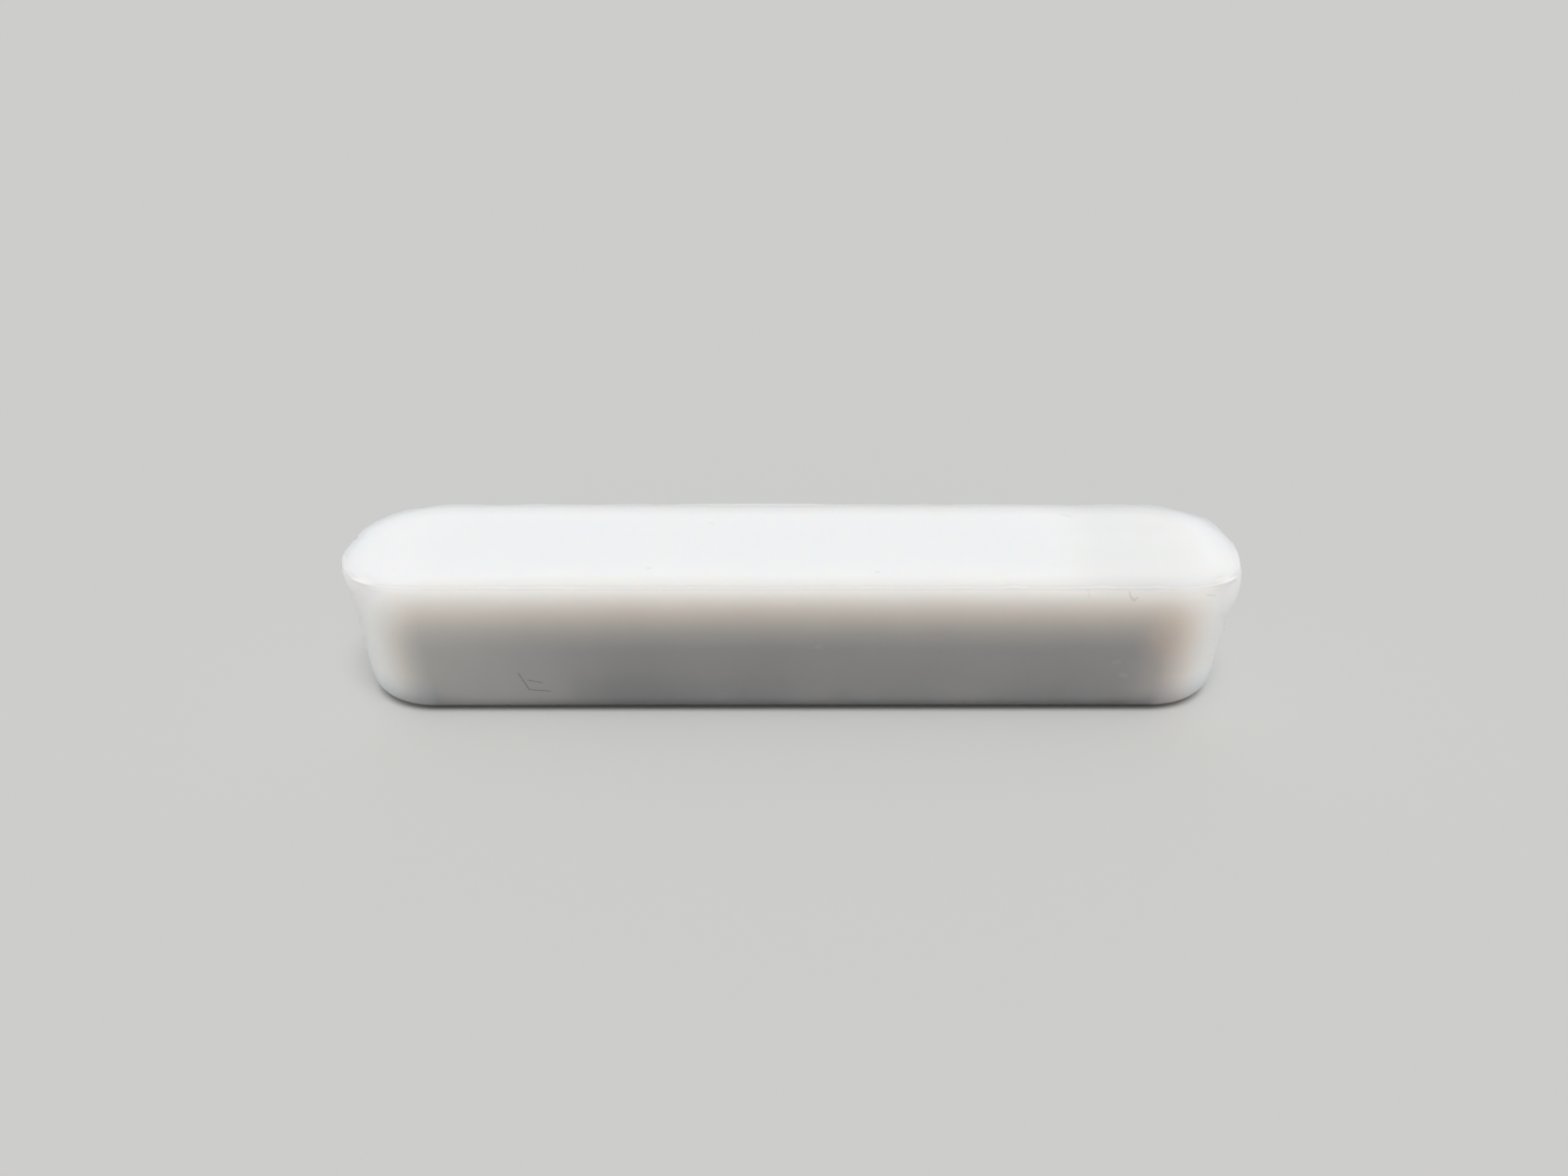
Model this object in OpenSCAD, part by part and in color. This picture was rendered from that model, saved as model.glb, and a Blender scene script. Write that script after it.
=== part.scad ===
// Magnetic stir bar: a magnet sealed in one compression-moulded PTFE jacket.
// The jacket is a flat-faced bar with round-cornered ends. It was pressed in a drafted
// cavity, so its walls lean in towards the base, and the punch that closed the cavity
// left a thin raised rim round the flat face. Under the rim, a lip of flash is left on
// the wall at each end, thick at the right end and thin at the left end.
// Origin: middle of the base. +X runs along the bar and +Z up to the flat face.

/* [Bar] */
// Overall length, measured round the flat face
bar_l = 50; // [30:0.5:80]
// Overall width, measured across the flat face
bar_w = 11.2; // [10.4:0.1:20]
// Overall height, from the base to the crest of the rim
bar_h = 8.3; // [6:0.1:14]
// Radius of the four corners of the flat face, seen from above
corner_r = 4.9; // [2.5:0.1:5.1]
// Lean of the side and end walls, in degrees
draft_deg = 4; // [0.5:0.5:6]
// Radius of the edge between the walls and the base
base_edge_r = 1.3; // [0.2:0.1:2]

/* [Punch rim] */
// Height of the rim above the flat face
rim_h = 0.12; // [0.04:0.02:0.4]
// Width of the rim at its foot, from the outer wall in over the flat face
rim_w = 0.3; // [0.1:0.05:1]

/* [Flash under the rim] */
// How far the thick flash, at the right end, stands out from the wall
thick_flash = 0.2; // [0.05:0.05:0.3]
// How far below the rim's crest the thick flash ends
thick_flash_drop = 2.2; // [1:0.1:2.5]
// How far the thin flash, at the left end, stands out from the wall
thin_flash = 0.1; // [0.05:0.01:0.12]
// How far below the rim's crest the thin flash ends
thin_flash_drop = 0.8; // [0.5:0.1:2]
// Angle from the bar's axis to the middle of each flash, round its corner
flash_turn = 35; // [30:1:60]
// Angle from the middle of each flash to where it dies out
flash_spread = 25; // [10:1:30]

/* [Walls round the magnet] */
// Thinnest wall between the magnet and each end of the bar
end_wall = 3.4; // [1.5:0.1:6]
// Thinnest wall between the magnet and each long side
side_wall = 1.1; // [0.8:0.1:2.5]
// Wall between the magnet and the base
base_wall = 1.3; // [0.8:0.1:2]
// Wall between the magnet and the flat face
face_wall = 2.6; // [0.8:0.1:2.8]

/* [Magnet] */
// Radius of the four long edges of the magnet
magnet_edge_r = 0.5; // [0.1:0.1:1]
// Play that the sintered jacket leaves on every side of the magnet
magnet_gap = 0.04; // [0.02:0.01:0.1]

/* [Hidden] */
$fn = 96;

// How far each wall leans in between the rim and the base
draft_inset = bar_h * tan(draft_deg);
// Height of the flat face inside the rim
face_z = bar_h - rim_h;
// Top of the flash, close under the rim
flash_top = bar_h - 2 * rim_h;
// Half of the straight stretch between the corner centres, along and across the bar
straight_x = bar_l / 2 - corner_r;
straight_y = bar_w / 2 - corner_r;

// Sealed cavity, and the magnet that fills it
cavity_l = bar_l - 2 * (draft_inset + end_wall);
cavity_w = bar_w - 2 * (draft_inset + side_wall);
cavity_h = face_z - base_wall - face_wall;
cavity_z = base_wall + cavity_h / 2;
magnet_l = cavity_l - 2 * magnet_gap;
magnet_w = cavity_w - 2 * magnet_gap;
magnet_h = cavity_h - 2 * magnet_gap;

// Half of the bar's section: x runs out from its axis to the wall, y is height.
// reach is how far out the crest of the rim lies.
module half_section(reach) {
    edge_x = reach - (bar_h - base_edge_r) * tan(draft_deg) - base_edge_r / cos(draft_deg);
    foot = [edge_x + base_edge_r * cos(draft_deg), base_edge_r * (1 - sin(draft_deg))];
    union() {
        polygon([
            [0, 0],
            [edge_x, 0],
            [edge_x, base_edge_r],
            foot,
            [reach, bar_h],
            [reach - rim_w, face_z],
            [0, face_z]
        ]);
        translate([edge_x, base_edge_r])
            intersection() {
                circle(r = base_edge_r);
                translate([0, -base_edge_r])
                    square(base_edge_r);
            }
    }
}

// The stretch between the end corners, with the full section of the bar
module middle_run() {
    rotate([90, 0, 90])
        linear_extrude(height = 2 * straight_x, center = true) {
            half_section(bar_w / 2);
            mirror([1, 0])
                half_section(bar_w / 2);
        }
}

// One end: two quarter-round corners and the short flat between them
module end_cap() {
    translate([straight_x, 0, 0])
        rotate([90, 0, 0])
            linear_extrude(height = 2 * straight_y, center = true)
                half_section(corner_r);
    for (side = [0, 1])
        mirror([0, side, 0])
            translate([straight_x, straight_y, 0])
                rotate_extrude(angle = 90)
                    half_section(corner_r);
}

// How far out the wall of a corner lies from the corner's axis at height z
function wall_at(z) = corner_r - (bar_h - z) * tan(draft_deg);

// How far a lip's axis lies from its corner's axis for the lip to die out over flash_spread
function lip_offset(proud) =
    ((corner_r + proud) ^ 2 - corner_r ^ 2) / 2 / (corner_r + proud - corner_r * cos(flash_spread));

// Lip of flash on the front corner of the right end: a disc set off towards the wall.
// It leaves the wall at flash_top, is thickest half way down and breaks off at its foot.
module flash_lip(proud, drop) {
    offset_x = lip_offset(proud);
    foot_z = bar_h - drop;
    belly_z = (flash_top + foot_z) / 2;
    translate([straight_x, -straight_y, 0])
        rotate([0, 0, -flash_turn])
            translate([offset_x, 0, 0])
                rotate_extrude()
                    polygon([
                        [0, foot_z],
                        [wall_at(foot_z) + proud / 2 - offset_x, foot_z],
                        [wall_at(belly_z) + proud - offset_x, belly_z],
                        [wall_at(flash_top) - offset_x, flash_top],
                        [0, flash_top]
                    ]);
}

// Rectangle with round corners, centred
module round_rect(x, y, r) {
    union() {
        square([x - 2 * r, y], center = true);
        square([x, y - 2 * r], center = true);
        for (sx = [-1, 1], sy = [-1, 1])
            translate([sx * (x / 2 - r), sy * (y / 2 - r)])
                circle(r = r);
    }
}

// Bar stock along X: a rectangular section with its four long edges eased, centred
module bar_stock(x, y, z, r) {
    rotate([90, 0, 90])
        linear_extrude(height = x, center = true)
            round_rect(y, z, r);
}

module ptfe_jacket() {
    color([0.95, 0.95, 0.93])
        difference() {
            union() {
                middle_run();
                end_cap();
                mirror([1, 0, 0])
                    end_cap();
                flash_lip(thick_flash, thick_flash_drop);
                mirror([1, 0, 0])
                    flash_lip(thin_flash, thin_flash_drop);
            }
            translate([0, 0, cavity_z])
                bar_stock(cavity_l, cavity_w, cavity_h, magnet_edge_r + magnet_gap);
        }
}

module magnet_core() {
    color([0.42, 0.42, 0.43])
        translate([0, 0, cavity_z])
            bar_stock(magnet_l, magnet_w, magnet_h, magnet_edge_r);
}

ptfe_jacket();
magnet_core();
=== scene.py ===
# Magnetic stir bar: looks of the moulded PTFE jacket and of the magnet sealed in it.
# Objects are in metres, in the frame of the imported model: +X along the bar, +Z up from its base.
import math

import bmesh
import bpy
from mathutils import Matrix, Vector, noise


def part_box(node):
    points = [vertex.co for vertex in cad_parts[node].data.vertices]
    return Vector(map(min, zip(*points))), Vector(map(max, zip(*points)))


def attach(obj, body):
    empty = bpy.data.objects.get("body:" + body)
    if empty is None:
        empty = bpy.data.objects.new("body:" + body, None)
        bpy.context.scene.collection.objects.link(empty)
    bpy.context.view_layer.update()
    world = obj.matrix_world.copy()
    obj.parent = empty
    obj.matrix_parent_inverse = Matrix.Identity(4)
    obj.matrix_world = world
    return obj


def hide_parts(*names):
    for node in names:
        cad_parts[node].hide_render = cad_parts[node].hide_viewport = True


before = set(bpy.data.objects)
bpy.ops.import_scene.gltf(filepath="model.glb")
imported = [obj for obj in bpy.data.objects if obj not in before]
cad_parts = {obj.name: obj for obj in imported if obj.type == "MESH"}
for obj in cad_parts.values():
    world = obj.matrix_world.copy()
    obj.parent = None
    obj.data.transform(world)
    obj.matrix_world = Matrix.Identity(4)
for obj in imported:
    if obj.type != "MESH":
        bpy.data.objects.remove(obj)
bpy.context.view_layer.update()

MM = 0.001

# ---------------------------------------------------------------- sizes of the bar, in mm
# Meshes are shaped in mm, where the operators work well, and turned to metres when finished.
LOW, HIGH = (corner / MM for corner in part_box("ptfe_jacket"))
BAR_L = HIGH.x - LOW.x
BAR_W = HIGH.y - LOW.y
BAR_H = HIGH.z
CORNER_R = 4.9
STRAIGHT_X = BAR_L / 2 - CORNER_R
STRAIGHT_Y = BAR_W / 2 - CORNER_R
DRAFT = math.radians(4)
BASE_EDGE_R = 1.3
# The rim that the punch leaves round the flat face, and the radius of its outer edge
RIM_H = 0.12
RIM_W = 0.3
CREST_R = 0.12
FACE_Z = BAR_H - RIM_H

MAGNET_LOW, MAGNET_HIGH = (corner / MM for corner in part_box("magnet_core"))
MAGNET_GAP = 0.04
MAGNET_EDGE_R = 0.5

# Lips of flash on the wall: which end, how far proud, and how far below the crest they begin and end
FLASH_LIPS = ((1, 0.22, 0.3, 3.3), (-1, 0.13, 0.15, 1.6))
# Angle from the bar's length to the middle of a lip, and from there to where it dies out
FLASH_TURN = math.radians(28)
FLASH_SPREAD = math.radians(25)

# How finely the jacket is divided
CORNER_STEPS = 56
EDGE_STEP = 0.25
WALL_RINGS = 60
BASE_RINGS = 14
CREST_RINGS = 5
RIM_RINGS = 6
FACE_INSETS = (0.3, 0.4, 0.5, 0.6)
MAGNET_EDGE_STEPS = 6
# Edges sharper than this stay sharp
SHARP_EDGE = math.radians(35)

# ---------------------------------------------------------------- wear and flash of the jacket, in mm
# The share of its height that the rim has left, and how much less it is along the front
RIM_LEFT = 0.45
FRONT_WEAR = 0.17
# By what share that height wanders, and over what length. Along the back it wanders twice as much
RIM_WANDER = ((0.25, 1.6), (0.12, 0.5))
# Where the rim stands at its full height: middle in plan, and radius round it
TALL_STRETCHES = (((23.0, -4.75), 1.1), ((-22.8, -4.85), 1.1), ((-2.0, 5.6), 9.0),
                  ((11.5, -5.6), 0.8), ((16.2, -5.6), 0.7), ((19.0, -5.6), 0.6))
# The first two of them are short ridges where the rim was torn; they look chalky, and their crests get a
# painted highlight
TORN_RIDGES = TALL_STRETCHES[:2]

# How far the rim's outline is rolled in all round, how much that wanders, over what length, and which
# layer of the noise it follows
ROLL = 0.02
ROLL_WANDER = ((0.015, 1.1, 7), (0.01, 0.35, 0))
# Where the rim is rolled in over the wall: middle in plan, radius round it, how far in
ROLLED_STRETCHES = (((24.6, -2.0), 2.2, 0.19), ((-25.0, 0.62), 0.32, 0.16),
                    ((17.0, 5.6), 4.5, 0.12), ((-18.5, 5.6), 4.0, 0.1))
# Where it is squeezed out instead, and how far
SQUEEZED_STRETCHES = (((24.0, 3.5), 2.6, 0.42), ((22.2, 5.2), 1.6, 0.24),
                      ((-23.9, 4.2), 2.4, 0.22), ((-24.8, 2.4), 1.6, 0.1),
                      ((23.0, -4.75), 2.2, 0.25), ((-22.9, -4.8), 2.0, 0.2))
# How far in over the face and how far down the wall the outline is pulled along
ROLL_REACH = 2.0
ROLL_DROP = 0.7

# Shallow hollows in the wall: how deep, and over what length
HOLLOWS = ((0.012, 3.5), (0.005, 1.1))
# A nib and a swelling on the wall: place, the radius round it, and how far each stands out
NIBS = (((24.03, -2.74, 1.58), 0.28, 0.07), ((24.4, -2.3, 3.6), 1.1, 0.08))
# Heights this close together count as the same
SAME_HEIGHT = 0.01

# ---------------------------------------------------------------- where the jacket is painted darker or whiter, in mm
# Whatever lies less than this below the crest belongs to the rim or to the flat face
RIM_DEPTH = 2 * RIM_H
# Painted shade: how much darker the face is at its edges beside the magnet and past its ends, and how far in
# that reaches
PAINTED_EDGE_SHADE = 0.155
PAINTED_END_EDGE_SHADE = 0.045
PAINTED_EDGE_SHADE_REACH = 1.9
# From where to where, past the magnet's end, one gives way to the other. At the back that is farther out,
# by so much from so far behind the middle
PAST_MAGNET = (-2.0, 1.5)
BACK_LAG = 1.8
BACK_LAG_Y = 4.0
# Painted shade: the rim's crest is a little darker still, and so is its foot
PAINTED_CREST_SHADE = 0.08
PAINTED_FOOT_SHADE = 0.015
FOOT_INWARD = 0.36
FOOT_WIDTH = 0.2
# A torn ridge has a painted highlight on its crest, so wide, and painted shade at its foot. It lets that much
# less light through
PAINTED_TORN_CREST_HIGHLIGHT = 0.12
TORN_CREST_WIDTH = 0.28
PAINTED_TORN_FOOT_SHADE = 0.07
TORN = 0.7
TORN_WIDTH = 0.3
# Painted light just under the rim at both ends, where the thin lips of flash are: how much whiter it is, from
# where to where along the bar that sets in, and how far down it reaches
PAINTED_LIP_LIGHT = 0.08
PAINTED_LIP_LIGHT_X = (22.5, 24.0)
PAINTED_LIP_LIGHT_DROP = 1.0
# Painted shade on the base edge at both ends: how much darker, from where to where along the bar that sets
# in, how high it is worst, and how far it reaches
PAINTED_BASE_SHADE = 0.3
PAINTED_BASE_SHADE_X = (17.0, 21.0)
PAINTED_BASE_SHADE_HEIGHT = 0.6
PAINTED_BASE_SHADE_REACH = 1.1


# ---------------------------------------------------------------- small helpers
def hex_linear(code):
    """The linear colour of an sRGB hex code, with alpha 1."""
    parts = [int(code[i:i + 2], 16) / 255 for i in (1, 3, 5)]
    return [c / 12.92 if c <= 0.04045 else ((c + 0.055) / 1.055) ** 2.4 for c in parts] + [1.0]


def add_node(tree, kind, settings=None, **inputs):
    """A node with its settings, and with each input linked to a socket or set to a value."""
    node = tree.nodes.new(kind)
    for key, value in (settings or {}).items():
        setattr(node, key, value)
    for key, value in inputs.items():
        socket = node.inputs[int(key[1:])] if key[0] == "i" and key[1:].isdigit() else node.inputs[key]
        if isinstance(value, bpy.types.NodeSocket):
            tree.links.new(value, socket)
        else:
            socket.default_value = value
    return node


def new_material(name):
    """A node material with an empty tree but for its output and its surface shader."""
    mat = bpy.data.materials.new(name)
    mat.use_nodes = True
    tree = mat.node_tree
    tree.nodes.clear()
    shader = add_node(tree, "ShaderNodeBsdfPrincipled")
    add_node(tree, "ShaderNodeOutputMaterial", Surface=shader.outputs["BSDF"])
    return mat, tree, shader


def finish_mesh(bm, name):
    """The bmesh, shaped in mm, as a smooth object in metres at the origin, sharp where it turns sharply."""
    mesh = bpy.data.meshes.new(name)
    bmesh.ops.scale(bm, verts=bm.verts[:], vec=(MM, MM, MM))
    for face in bm.faces:
        face.smooth = True
    bm.to_mesh(mesh)
    bm.free()
    mesh.set_sharp_from_angle(angle=SHARP_EDGE)
    obj = bpy.data.objects.new(name, mesh)
    bpy.context.scene.collection.objects.link(obj)
    return obj


def fade(distance, reach):
    """1 at no distance, falling smoothly to 0 at the reach."""
    return max(0.0, 1 - (distance / reach) ** 2) ** 2


def between(value, low, high):
    """0 up to the low limit, rising evenly to 1 at the high one."""
    return min(1, max(0, (value - low) / (high - low)))


# ---------------------------------------------------------------- the moulded jacket
def step_in(bm, face, inset, drop):
    """Insets the face all round and lowers what is left of it."""
    bmesh.ops.inset_region(bm, faces=[face], thickness=inset, depth=0.0, use_boundary=True,
                           use_even_offset=True)
    bmesh.ops.translate(bm, verts=face.verts[:], vec=(0, 0, -drop))


def crest_outline(bm):
    """One face that points down: the outline of the bar where the wall turns into the rim's crest."""
    lean = CREST_R * math.tan(DRAFT)
    size = Matrix.Diagonal((BAR_L - 2 * lean, BAR_W - 2 * lean, 1, 1))
    place = Matrix.Translation((0, 0, BAR_H - CREST_R)) @ size
    bmesh.ops.create_grid(bm, x_segments=1, y_segments=1, size=0.5, matrix=place)
    bmesh.ops.bevel(bm, geom=bm.verts[:], offset=CORNER_R - lean, offset_type="OFFSET",
                    affect="VERTICES", segments=CORNER_STEPS, profile=0.5, material=-1)
    for axis in (0, 1):
        runs = [e for e in bm.edges if e.calc_length() > 2 * EDGE_STEP
                and abs(e.verts[0].co[axis] - e.verts[1].co[axis]) > EDGE_STEP]
        cuts = round(runs[0].calc_length() / EDGE_STEP) - 1
        bmesh.ops.bisect_edges(bm, edges=runs, cuts=cuts)
    face = bm.faces[:][0]
    face.normal_flip()
    return face


def wall_and_base(bm, face):
    """From the crest's outline down: the drafted wall, the round base edge and the base."""
    foot_z = BASE_EDGE_R * (1 - math.sin(DRAFT))
    wall_step = (BAR_H - CREST_R - foot_z) / WALL_RINGS
    for _ in range(WALL_RINGS):
        step_in(bm, face, wall_step * math.tan(DRAFT), wall_step)
    turn = (math.pi / 2 - DRAFT) / BASE_RINGS
    for k in range(BASE_RINGS):
        a, b = DRAFT + k * turn, DRAFT + (k + 1) * turn
        step_in(bm, face, BASE_EDGE_R * (math.cos(a) - math.cos(b)),
                BASE_EDGE_R * (math.sin(b) - math.sin(a)))


def rim_and_face(bm):
    """From the crest's outline in: the round crest, the rim's inner slope and the flat face."""
    outline = [e for e in bm.edges if e.is_boundary]
    face = bmesh.ops.contextual_create(bm, geom=outline)["faces"][0]
    face.normal_update()
    if face.normal.z < 0:
        face.normal_flip()
    for k in range(CREST_RINGS):
        a, b = (math.pi / 2 * n / CREST_RINGS for n in (k, k + 1))
        step_in(bm, face, CREST_R * (math.cos(a) - math.cos(b)), CREST_R * (math.sin(a) - math.sin(b)))
    for k in range(RIM_RINGS):
        a, b = (math.pi * n / RIM_RINGS for n in (k, k + 1))
        step_in(bm, face, (RIM_W - CREST_R) / RIM_RINGS, RIM_H / 2 * (math.cos(a) - math.cos(b)))
    for inset in FACE_INSETS:
        step_in(bm, face, inset, 0.0)


def outline_place(co):
    """The way out from the middle of the bar to its outline past this point, and the place on it there."""
    middle = Vector((max(-STRAIGHT_X, min(STRAIGHT_X, co.x)), max(-STRAIGHT_Y, min(STRAIGHT_Y, co.y))))
    out = (co.xy - middle).normalized()
    return out, middle + out * CORNER_R


def raise_flash(bm):
    """Lips of flash on the front corner of each end: each is a disc set off towards the wall."""
    for side, proud, begin, end in FLASH_LIPS:
        rise = (CORNER_R + proud) ** 2 - CORNER_R ** 2
        offset = rise / 2 / (CORNER_R + proud - CORNER_R * math.cos(FLASH_SPREAD))
        axis = Vector((side * STRAIGHT_X, -STRAIGHT_Y))
        middle = Vector((side * math.cos(FLASH_TURN), -math.sin(FLASH_TURN)))
        for vert in bm.verts:
            drop = BAR_H - vert.co.z
            down = (drop - begin) / (end - begin)
            out = vert.co.xy - axis
            if not 0 < down < 1 or out.angle(middle) > FLASH_SPREAD:
                continue
            radius = CORNER_R - drop * math.tan(DRAFT) + proud * math.sin(math.pi * down) - offset
            across = offset * math.sin(out.angle(middle))
            reach = offset * math.cos(out.angle(middle)) + math.sqrt(radius ** 2 - across ** 2)
            if reach > out.length:
                vert.co.xy = axis + out * reach / out.length


def ripple_wall(bm):
    """The wall isn't quite even: shallow hollows a few millimetres long, and none on the base."""
    for vert in bm.verts:
        if not BASE_EDGE_R <= vert.co.z <= FACE_Z - SAME_HEIGHT:
            continue
        out = outline_place(vert.co)[0]
        hollow = sum(depth * (1 + noise.noise(vert.co / length)) for depth, length in HOLLOWS)
        hollow *= min(1, vert.co.z - BASE_EDGE_R)
        for middle, radius, proud in NIBS:
            hollow -= proud * fade((vert.co - Vector(middle)).length, radius)
        vert.co.xy -= out * hollow


def wear_rim(bm):
    """The punch leaves a ragged rim: uneven in height and outline, and rolled over at the ends."""
    for vert in bm.verts:
        out, edge = outline_place(vert.co)
        along = Vector((edge.x, edge.y, 0))
        ragged = sum(share * noise.noise(along / length) for share, length in RIM_WANDER)
        height = RIM_LEFT - FRONT_WEAR * max(0, -out.y) + ragged * (1 + max(0, out.y))
        for middle, radius in TALL_STRETCHES:
            height += (1 - height) * fade((edge - Vector(middle)).length, radius)
        if vert.co.z > FACE_Z:
            vert.co.z = FACE_Z + (vert.co.z - FACE_Z) * min(height, 1)
        roll = ROLL
        for depth, length, layer in ROLL_WANDER:
            roll += depth * noise.noise(along / length + Vector((0, 0, layer)))
        for middle, radius, depth in ROLLED_STRETCHES:
            roll += depth * fade((edge - Vector(middle)).length, radius)
        for middle, radius, depth in SQUEEZED_STRETCHES:
            roll -= depth * fade((edge - Vector(middle)).length, radius)
        roll *= fade((edge - vert.co.xy).length, ROLL_REACH) * fade(BAR_H - vert.co.z, ROLL_DROP)
        vert.co.xy -= out * roll


def mark_skin(bm):
    """Marks the painted shade and light that make the jacket darker or whiter than its shade makes it, where
    the face lies open above the magnet, and where the rim was torn."""
    painted_layer = bm.verts.layers.float.new("painted_light_and_shade")
    clear = bm.verts.layers.float.new("face_clear")
    torn = bm.verts.layers.float.new("torn")
    for vert in bm.verts:
        edge = outline_place(vert.co)[1]
        inward = (edge - vert.co.xy).length
        drop = BAR_H - vert.co.z
        end = abs(vert.co.x)
        if drop < RIM_DEPTH:
            lag = BACK_LAG * between(vert.co.y, 0, BACK_LAG_Y)
            past = between(end - MAGNET_HIGH.x - lag, *PAST_MAGNET)
            ridge = max(fade((edge - Vector(middle)).length, radius) for middle, radius in TORN_RIDGES)
            vert[clear] = FACE_CLEAR * min(1, inward / CREST_R)
            vert[torn] = TORN * ridge * fade(inward - CREST_R, TORN_WIDTH)
            vert[painted_layer] = (PAINTED_EDGE_SHADE + (PAINTED_END_EDGE_SHADE - PAINTED_EDGE_SHADE) * past) * fade(inward, PAINTED_EDGE_SHADE_REACH)
            vert[painted_layer] += (PAINTED_FOOT_SHADE + ridge * PAINTED_TORN_FOOT_SHADE) * fade(inward - FOOT_INWARD, FOOT_WIDTH)
            vert[painted_layer] += PAINTED_CREST_SHADE * (1 - ridge) * fade(inward - CREST_R, CREST_R)
            vert[painted_layer] -= PAINTED_TORN_CREST_HIGHLIGHT * ridge * fade(inward - CREST_R, TORN_CREST_WIDTH)
        vert[painted_layer] -= PAINTED_LIP_LIGHT * between(end, *PAINTED_LIP_LIGHT_X) * fade(drop - RIM_DEPTH, PAINTED_LIP_LIGHT_DROP)
        vert[painted_layer] += PAINTED_BASE_SHADE * between(end, *PAINTED_BASE_SHADE_X) * fade(vert.co.z - PAINTED_BASE_SHADE_HEIGHT, PAINTED_BASE_SHADE_REACH)


def magnet_cavity(bm):
    """The sealed cavity round the magnet, with its faces turned to the hollow."""
    size = MAGNET_HIGH - MAGNET_LOW + Vector((1, 1, 1)) * 2 * MAGNET_GAP
    place = Matrix.Translation((MAGNET_LOW + MAGNET_HIGH) / 2) @ Matrix.Diagonal((*size, 1))
    made = bmesh.ops.create_cube(bm, size=1, matrix=place)["verts"]
    faces = list(dict.fromkeys(f for v in made for f in v.link_faces))
    bmesh.ops.reverse_faces(bm, faces=faces)
    edges = dict.fromkeys(e for v in made for e in v.link_edges)
    long_edges = [e for e in edges if abs(e.verts[0].co.x - e.verts[1].co.x) > size.x / 2]
    bmesh.ops.bevel(bm, geom=long_edges, offset=MAGNET_EDGE_R + MAGNET_GAP, offset_type="OFFSET",
                    affect="EDGES", segments=MAGNET_EDGE_STEPS, profile=0.5, material=-1)


def build_jacket():
    """The whole jacket as one closed skin, with the sealed cavity inside it."""
    bm = bmesh.new()
    wall_and_base(bm, crest_outline(bm))
    rim_and_face(bm)
    raise_flash(bm)
    ripple_wall(bm)
    wear_rim(bm)
    mark_skin(bm)
    magnet_cavity(bm)
    return finish_mesh(bm, "moulded_jacket")


# ---------------------------------------------------------------- materials
# Most values of a noise texture lie between these two
NOISE_LOW, NOISE_HIGH = 0.3, 0.7

PTFE_IOR = 1.35
PTFE_ROUGHNESS = (0.36, 0.46)
# How far red light gets through it, in mm, and the shares of that for red, green and blue
LIGHT_REACH = 3.0
LIGHT_SHARES = (1.0, 0.85, 0.72)
# Light that gets round the magnet softens its shade. So the shade is drawn by the distance from a
# smaller core, in mm, and that distance is stretched by these factors along X, Y and Z.
SHADE_MIDDLE = Vector((0.02, 0, 2.2))
SHADE_HALF = Vector((19.7, 2.38, 1.89))
SHADE_STRETCH = Vector((2.4, 1.0, 1.78))
# Stretched distance from that core, and colour of the jacket's surface there
SHADE_STOPS = ((2.5, "#636366"), (2.8, "#9A9A9A"), (3.4, "#A8A3A1"), (4.2, "#B9B6B1"), (5.2, "#D2C9C0"),
               (6.4, "#E2E0DD"), (7.6, "#EFECE8"), (9.0, "#FFFDFA"))
# The flat face lies open above the magnet and takes less of its shade: as if this much farther, in mm
FACE_CLEAR = 2.5
# The powder packs unevenly: size in mm, how far the shade's border wanders, how much the white clouds
PACKING_SIZE = 7.0
SHADE_WANDER = 0.3
CLOUDING = 0.02
# Ejection from the cavity leaves faint upright lines on the wall; real ones are finer than these 0.2 mm
DRAW_LINE = 0.2
DRAW_LENGTH = 4.0
DRAW_HEIGHT = 0.004

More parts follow.
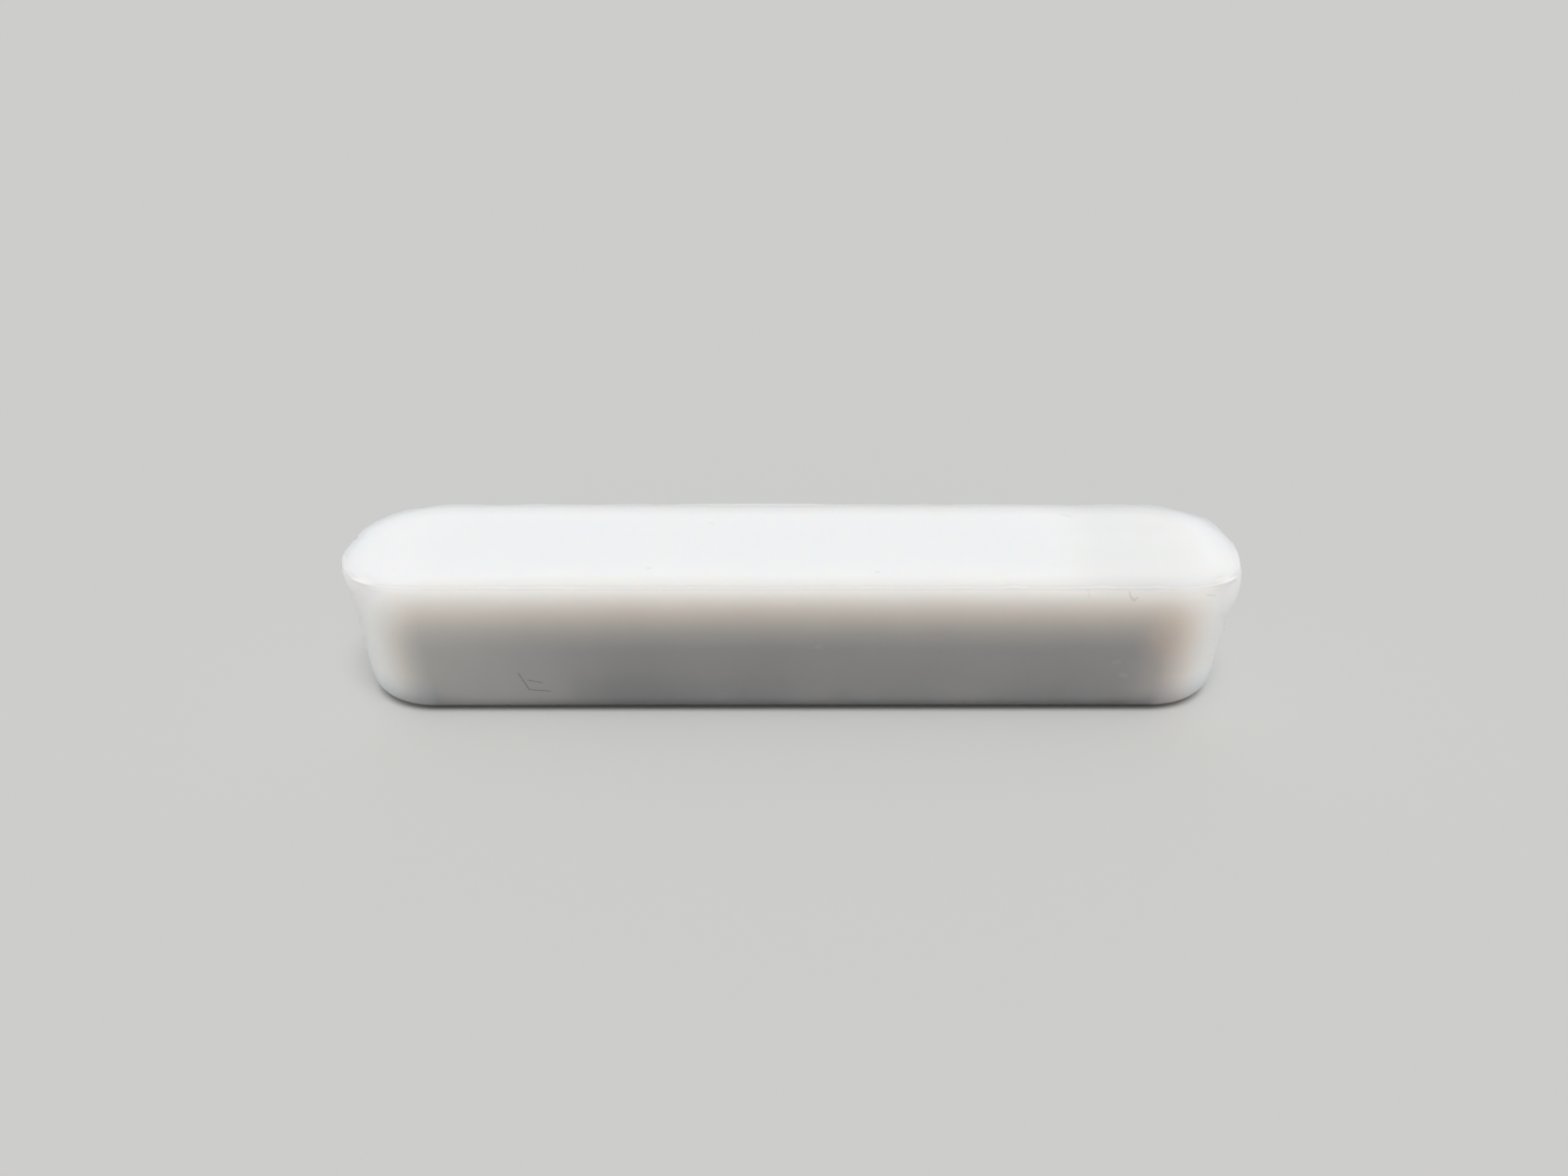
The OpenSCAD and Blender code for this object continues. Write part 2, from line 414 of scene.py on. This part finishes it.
# Marks in the skin: blend, tint, the way they face, how deep they reach, so that the skin's ripples don't
# lose them, then strokes as two ends and half the width, all in mm
FRONT = Vector((0, -1, 0))
UP = Vector((0, 0, 1))
MARKS = (
    # a dark fibre that lies on the front, bent twice
    ("MULTIPLY", "#B0AEB0", FRONT, 0.35, (
        ((-15.04, -5.21, 2.72), (-14.57, -5.13, 1.64), 0.035),
        ((-14.57, -5.13, 1.64), (-13.41, -5.13, 1.54), 0.03),
        ((-14.57, -5.18, 2.29), (-14.20, -5.17, 2.19), 0.03),
        ((-14.20, -5.17, 2.19), (-13.82, -5.17, 2.11), 0.025))),
    # small nicks just under the rim, towards the right
    ("MULTIPLY", "#EDEDEA", FRONT, 0.5, (
        ((17.55, -5.58, 7.96), (17.66, -5.55, 7.62), 0.05),
        ((17.66, -5.55, 7.62), (17.90, -5.54, 7.40), 0.07),
        ((17.90, -5.54, 7.40), (18.02, -5.55, 7.59), 0.06))),
    ("MULTIPLY", "#F4F2EE", FRONT, 0.6, (
        ((21.80, -5.24, 7.60), (22.36, -4.97, 7.40), 0.06),
        ((15.34, -5.58, 8.07), (15.51, -5.55, 7.62), 0.03))),
    # specks pressed into the flat face
    ("MULTIPLY", "#F5F5F5", UP, 0.5, (
        ((16.18, 4.02, 8.18), (16.64, 3.72, 8.18), 0.12),
        ((-4.82, 2.72, 8.18), (-4.70, 2.70, 8.18), 0.1),
        ((-7.87, -3.26, 8.18), (-7.80, -3.20, 8.18), 0.12),
        ((4.47, -3.74, 8.18), (4.52, -3.70, 8.18), 0.14))),
    # a wide faint cloud across the face over the magnet's right end
    ("MULTIPLY", "#F3F5F7", UP, 0.5, (((18.8, -3.5, 8.18), (20.6, 5.5, 8.18), 4.2),)),
    # more light gets in at the bar's ends, white on the left and warmer on the right
    ("SCREEN", "#797873", FRONT, 60, (((-30.1, -5.3, 2.0), (-29.9, -5.3, 2.0), 16.5),)),
    ("SCREEN", "#AB9B90", FRONT, 60, (((24.6, -5.3, 2.0), (24.8, -5.3, 2.0), 5.0),)),
    ("SCREEN", "#73573E", FRONT, 60, (((20.8, -5.0, 5.4), (20.9, -5.0, 5.6), 1.9),)),
    # painted shade: a cooler and slightly duller stretch low on both ends
    ("MULTIPLY", "#EDF2F8", FRONT, 60, (
        ((-24.0, -5.0, 0.8), (-20.6, -5.0, 0.8), 1.2),
        ((20.6, -5.0, 0.8), (24.0, -5.0, 0.8), 1.2))),
    # pale grains in the shade
    ("SCREEN", "#363636", FRONT, 1.4, (
        ((17.50, -5.26, 3.40), (17.75, -5.26, 3.50), 0.14),
        ((18.00, -5.20, 2.60), (18.20, -5.20, 2.54), 0.16),
        ((1.25, -5.33, 4.45), (1.45, -5.33, 4.55), 0.12),
        ((9.85, -4.90, 0.62), (10.05, -4.90, 0.66), 0.12))),
)
# A mark keeps its tint up to this many half widths from its middle line, and is gone at that many
MARK_FULL, MARK_GONE = 0.4, 1.4


def magnet_shade(tree, place, packing):
    """The jacket's colour by its distance from the magnet's core: a grey shade with a warm border."""
    centred = add_node(tree, "ShaderNodeMapping", {"vector_type": "TEXTURE"}, Vector=place,
                       Location=SHADE_MIDDLE * MM, Scale=[MM / stretch for stretch in SHADE_STRETCH])
    folded = add_node(tree, "ShaderNodeVectorMath", {"operation": "ABSOLUTE"}, i0=centred.outputs[0])
    beyond = add_node(tree, "ShaderNodeVectorMath", {"operation": "SUBTRACT"}, i0=folded.outputs[0],
                      i1=SHADE_HALF * SHADE_STRETCH)
    outside = add_node(tree, "ShaderNodeVectorMath", {"operation": "MAXIMUM"}, i0=beyond.outputs[0],
                       i1=(0, 0, 0))
    distance = add_node(tree, "ShaderNodeVectorMath", {"operation": "LENGTH"}, i0=outside.outputs[0])
    clear = add_node(tree, "ShaderNodeAttribute", {"attribute_name": "face_clear"})
    farther = add_node(tree, "ShaderNodeMath", {"operation": "ADD"}, i0=distance.outputs["Value"],
                       i1=clear.outputs["Fac"])
    wandering = add_node(tree, "ShaderNodeMath", {"operation": "MULTIPLY_ADD"}, i0=packing,
                         i1=SHADE_WANDER, i2=farther.outputs[0])
    first, last = SHADE_STOPS[0][0], SHADE_STOPS[-1][0]
    along = add_node(tree, "ShaderNodeMapRange", i0=wandering.outputs[0],
                     i1=first + SHADE_WANDER / 2, i2=last + SHADE_WANDER / 2)
    ramp = add_node(tree, "ShaderNodeValToRGB", Fac=along.outputs[0])
    ramp.color_ramp.interpolation = "B_SPLINE"
    stops = ramp.color_ramp.elements
    for at, _ in SHADE_STOPS[1:-1]:
        stops.new((at - first) / (last - first))
    for stop, (_, code) in zip(stops, SHADE_STOPS):
        stop.color = hex_linear(code)
    return ramp.outputs["Color"]


def mark_mask(tree, place, facing, depth, strokes):
    """1 along the strokes of a mark, falling to 0 beside them and below its depth."""
    nearest = None
    for start, end, half_width in strokes:
        start, end = Vector(start), Vector(end)
        run = (end - start).normalized()
        aside = facing.cross(run).normalized()
        turn = Matrix((run, aside, run.cross(aside))).transposed().to_euler()
        reach = Vector((half_width, half_width, depth))
        local = add_node(tree, "ShaderNodeMapping", {"vector_type": "TEXTURE"}, Vector=place,
                         Location=(start + end) / 2 * MM, Rotation=turn, Scale=reach * MM)
        folded = add_node(tree, "ShaderNodeVectorMath", {"operation": "ABSOLUTE"}, i0=local.outputs[0])
        beyond = add_node(tree, "ShaderNodeVectorMath", {"operation": "SUBTRACT"}, i0=folded.outputs[0],
                          i1=((end - start).length / 2 / half_width, 0, 0))
        outside = add_node(tree, "ShaderNodeVectorMath", {"operation": "MAXIMUM"}, i0=beyond.outputs[0],
                           i1=(0, 0, 0))
        off = add_node(tree, "ShaderNodeVectorMath", {"operation": "LENGTH"}, i0=outside.outputs[0])
        off = off.outputs["Value"]
        if nearest:
            off = add_node(tree, "ShaderNodeMath", {"operation": "MINIMUM"}, i0=nearest, i1=off).outputs[0]
        nearest = off
    mask = add_node(tree, "ShaderNodeMapRange", {"interpolation_type": "SMOOTHSTEP"}, i0=nearest,
                    i1=MARK_FULL, i2=MARK_GONE, i3=1.0, i4=0.0)
    return mask.outputs[0]


def moulded_ptfe():
    """PTFE powder pressed in a cavity and sintered: waxy white, and so clear that the magnet shows
    through its thinner walls as a soft grey shade with a warm border."""
    mat, tree, shader = new_material("compression_moulded_sintered_ptfe")
    place = add_node(tree, "ShaderNodeTexCoord").outputs["Object"]
    packing = add_node(tree, "ShaderNodeTexNoise", Vector=place, Scale=1 / (PACKING_SIZE * MM), Detail=3.0)
    packing = packing.outputs[0]
    shade = magnet_shade(tree, place, packing)

    # painted shade and light: darker along the face's edges, at its crest and low on both ends, whiter on
    # torn crests and under the lips of flash
    painted_attribute = add_node(tree, "ShaderNodeAttribute", {"attribute_name": "painted_light_and_shade"})
    clouded = add_node(tree, "ShaderNodeMapRange", i0=packing, i1=NOISE_LOW, i2=NOISE_HIGH,
                       i3=1 - CLOUDING, i4=1.0)
    kept = add_node(tree, "ShaderNodeMath", {"operation": "SUBTRACT"}, i0=clouded.outputs[0],
                    i1=painted_attribute.outputs["Fac"])
    skin = add_node(tree, "ShaderNodeVectorMath", {"operation": "SCALE"}, i0=shade, Scale=kept.outputs[0])
    colour = skin.outputs[0]
    for blend, tint, facing, depth, strokes in MARKS:
        mask = mark_mask(tree, place, facing, depth, strokes)
        marked = add_node(tree, "ShaderNodeMixRGB", {"blend_type": blend}, Fac=mask, Color1=colour,
                          Color2=hex_linear(tint))
        colour = marked.outputs[0]
    tree.links.new(colour, shader.inputs["Base Color"])

    drawn = add_node(tree, "ShaderNodeMapping", Vector=place,
                     Scale=(1 / (DRAW_LINE * MM), 1 / (DRAW_LINE * MM), 1 / (DRAW_LENGTH * MM)))
    lines = add_node(tree, "ShaderNodeTexNoise", Vector=drawn.outputs[0], Scale=1.0, Detail=2.0)
    bump = add_node(tree, "ShaderNodeBump", Height=lines.outputs[0], Distance=DRAW_HEIGHT * MM)
    tree.links.new(bump.outputs[0], shader.inputs["Normal"])
    sheen = add_node(tree, "ShaderNodeMapRange", i0=packing, i1=NOISE_LOW, i2=NOISE_HIGH,
                     i3=PTFE_ROUGHNESS[0], i4=PTFE_ROUGHNESS[1])
    tree.links.new(sheen.outputs[0], shader.inputs["Roughness"])
    shader.inputs["IOR"].default_value = PTFE_IOR

    # light wanders through the jacket, but much less through the torn ridges, which look chalky
    torn = add_node(tree, "ShaderNodeAttribute", {"attribute_name": "torn"})
    through = add_node(tree, "ShaderNodeMath", {"operation": "SUBTRACT"}, i0=1.0, i1=torn.outputs["Fac"])
    tree.links.new(through.outputs[0], shader.inputs["Subsurface Weight"])
    shader.inputs["Subsurface Radius"].default_value = LIGHT_SHARES
    shader.inputs["Subsurface Scale"].default_value = LIGHT_REACH * MM
    return mat


# Grinding lines along the magnet; real ones are a few hundredths of a millimetre wide, these are coarser
GRIND_LINE = 0.12
GRIND_LENGTH = 6.0
GRIND_HEIGHT = 0.005
# Darker and duller in the grooves, lighter and smoother on the lands between them
GRIND_GREYS = ("#646466", "#7C7B7A")
GRIND_ROUGHNESS = (0.62, 0.46)


def ground_magnet_alloy():
    """Aluminium-nickel-cobalt magnet alloy, ground along its faces: a dull grey metal with fine lines."""
    mat, tree, shader = new_material("ground_aluminium_nickel_cobalt_alloy")
    place = add_node(tree, "ShaderNodeTexCoord").outputs["Object"]
    along = add_node(tree, "ShaderNodeMapping", Vector=place,
                     Scale=(1 / (GRIND_LENGTH * MM), 1 / (GRIND_LINE * MM), 1 / (GRIND_LINE * MM)))
    lines = add_node(tree, "ShaderNodeTexNoise", Vector=along.outputs[0], Scale=1.0, Detail=3.0)
    grey = add_node(tree, "ShaderNodeValToRGB", Fac=lines.outputs[0])
    for stop, at, code in zip(grey.color_ramp.elements, (NOISE_LOW, NOISE_HIGH), GRIND_GREYS):
        stop.position = at
        stop.color = hex_linear(code)
    tree.links.new(grey.outputs[0], shader.inputs["Base Color"])
    rough = add_node(tree, "ShaderNodeMapRange", i0=lines.outputs[0], i1=NOISE_LOW, i2=NOISE_HIGH,
                     i3=GRIND_ROUGHNESS[0], i4=GRIND_ROUGHNESS[1])
    tree.links.new(rough.outputs[0], shader.inputs["Roughness"])
    bump = add_node(tree, "ShaderNodeBump", Height=lines.outputs[0], Distance=GRIND_HEIGHT * MM)
    tree.links.new(bump.outputs[0], shader.inputs["Normal"])
    shader.inputs["Metallic"].default_value = 1.0
    return mat


# ---------------------------------------------------------------- stage, light and camera
FLOOR_SHADE = "#CDCDCB"
FLOOR_ROUGHNESS = 0.9
FLOOR_HALF = 3000
SKY_STRENGTH = 0.45
SUN_FROM = Vector((0.06, -0.42, 1.0)).normalized()
# The lamp adds what the sky leaves for a level surface to render at its own colour
SUN_STRENGTH = (1 - SKY_STRENGTH) * math.pi / SUN_FROM.z
SUN_WIDTH = math.radians(30)


def build_floor():
    """A plain pale floor that reaches far past the view."""
    bm = bmesh.new()
    bmesh.ops.create_grid(bm, x_segments=1, y_segments=1, size=FLOOR_HALF)
    obj = finish_mesh(bm, "floor")
    mat, _, shader = new_material("pale_floor")
    shader.inputs["Base Color"].default_value = hex_linear(FLOOR_SHADE)
    shader.inputs["Roughness"].default_value = FLOOR_ROUGHNESS
    shader.inputs["Specular IOR Level"].default_value = 0.0
    obj.data.materials.append(mat)


def light_the_stage():
    """A very soft lamp from above and in front, and an even pale room round the stage."""
    data = bpy.data.lights.new("soft_overhead", "SUN")
    data.energy = SUN_STRENGTH
    data.angle = SUN_WIDTH
    obj = bpy.data.objects.new("soft_overhead", data)
    obj.rotation_euler = SUN_FROM.to_track_quat("Z", "Y").to_euler()
    bpy.context.scene.collection.objects.link(obj)
    world = bpy.data.worlds.new("pale_room")
    world.use_nodes = True
    tree = world.node_tree
    tree.nodes.clear()
    rays = add_node(tree, "ShaderNodeLightPath")
    lit = add_node(tree, "ShaderNodeBackground", Color=(1.0, 1.0, 1.0, 1.0), Strength=SKY_STRENGTH)
    seen = add_node(tree, "ShaderNodeBackground", Color=hex_linear(FLOOR_SHADE), Strength=1.0)
    shown = add_node(tree, "ShaderNodeMath", {"operation": "ADD"},
                     i0=rays.outputs["Is Camera Ray"], i1=rays.outputs["Is Glossy Ray"])
    shown = add_node(tree, "ShaderNodeMath", {"operation": "ADD", "use_clamp": True},
                     i0=shown.outputs[0], i1=rays.outputs["Is Transmission Ray"])
    mix = add_node(tree, "ShaderNodeMixShader", i0=shown.outputs[0], i1=lit.outputs[0], i2=seen.outputs[0])
    add_node(tree, "ShaderNodeOutputWorld", Surface=mix.outputs[0])
    bpy.context.scene.world = world


# The camera stands in front of the bar and looks along +Y and down at the target, from this far
LENS_MM = 24.75
SENSOR_MM = 36.0
CAMERA_PITCH = math.radians(27.41)
CAMERA_YAW = math.radians(0.338)
CAMERA_ROLL = math.radians(0.133)
CAMERA_DISTANCE = 62.456 * MM
CAMERA_TARGET = Vector((-0.499 * MM, 0, 5.295 * MM))


def place_camera():
    """The camera, close in front of the bar and a little above it."""
    data = bpy.data.cameras.new("camera")
    data.lens = LENS_MM
    data.sensor_width = SENSOR_MM
    data.sensor_fit = "HORIZONTAL"
    data.clip_start = 1 * MM
    obj = bpy.data.objects.new("camera", data)
    turn = (Matrix.Rotation(-CAMERA_YAW, 3, "Z") @ Matrix.Rotation(math.pi / 2 - CAMERA_PITCH, 3, "X")
            @ Matrix.Rotation(CAMERA_ROLL, 3, "Z"))
    place = CAMERA_TARGET + turn @ Vector((0, 0, CAMERA_DISTANCE))
    obj.matrix_world = Matrix.Translation(place) @ turn.to_4x4()
    bpy.context.scene.collection.objects.link(obj)
    bpy.context.scene.camera = obj


# ---------------------------------------------------------------- put together
bpy.context.scene.view_settings.view_transform = "Standard"

jacket = build_jacket()
jacket.data.materials.append(moulded_ptfe())
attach(jacket, "root")
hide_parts("ptfe_jacket")

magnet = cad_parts["magnet_core"]
magnet.data.materials.clear()
magnet.data.materials.append(ground_magnet_alloy())

build_floor()
light_the_stage()
place_camera()
